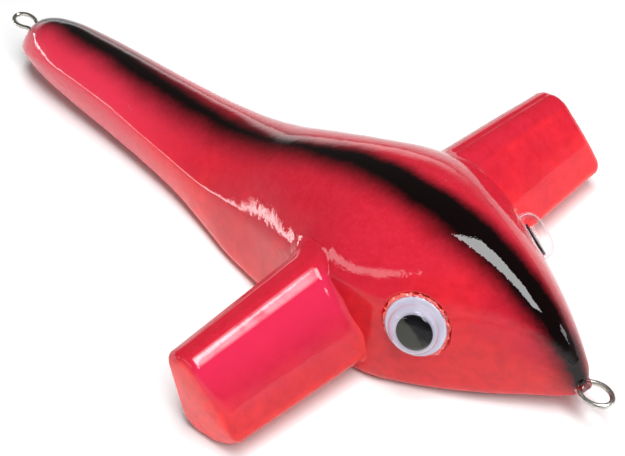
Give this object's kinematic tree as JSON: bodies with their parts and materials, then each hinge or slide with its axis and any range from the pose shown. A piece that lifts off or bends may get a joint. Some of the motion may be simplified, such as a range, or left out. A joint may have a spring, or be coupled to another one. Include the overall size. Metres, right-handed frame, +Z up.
{
  "type": "trolling bird teaser lure",
  "caption": "Carved wooden bird-shaped trolling teaser: teardrop body with stub paddle wings, loose-pupil eyes and a through-wire looped at nose and tail.",
  "frame": {"origin": "middle of the object's footprint, on the plane the flat belly rests on", "axes": "+X along the body towards the nose loop, +Y towards the bird's left wing, +Z up through the back"},
  "size_m": [0.196, 0.1048, 0.0335],
  "materials": {
    "paint": "gloss",
    "dowel": "matte",
    "epoxy": "gloss",
    "dark_epoxy": "gloss",
    "wire": "satin",
    "lead": "matte",
    "eye_white": "gloss",
    "eye_clear": "gloss",
    "pupil": "satin",
    "glue": "satin"
  },
  "bodies": {
    "root": {"body": "paint", "wing_right": "paint", "wing_left": "paint", "wing_dowels_right": "dowel", "wing_dowels_left": "dowel", "wing_epoxy_right": "epoxy", "wing_epoxy_left": "epoxy", "through_wire": "wire", "nose_epoxy": "dark_epoxy", "tail_epoxy": "dark_epoxy", "ballast": "lead", "ballast_plug": "paint", "eye_back_right": "eye_white", "eye_dome_right": "eye_clear", "eye_glue_right": "glue", "eye_back_left": "eye_white", "eye_dome_left": "eye_clear", "eye_glue_left": "glue"},
    "pupil_right": {"eye_pupil_right": "pupil"},
    "pupil_left": {"eye_pupil_left": "pupil"}
  },
  "joints": [
    {"name": "pupil_right_roll", "type": "hinge", "parent": "root", "child": "pupil_right", "pos_m": [0.06547, -0.01604, 0.01718], "axis": [0.444, -0.8246, 0.3506], "continuous": true},
    {"name": "pupil_left_roll", "type": "hinge", "parent": "root", "child": "pupil_left", "pos_m": [0.06547, 0.01604, 0.01718], "axis": [0.444, 0.8246, 0.3506], "continuous": true}
  ]
}
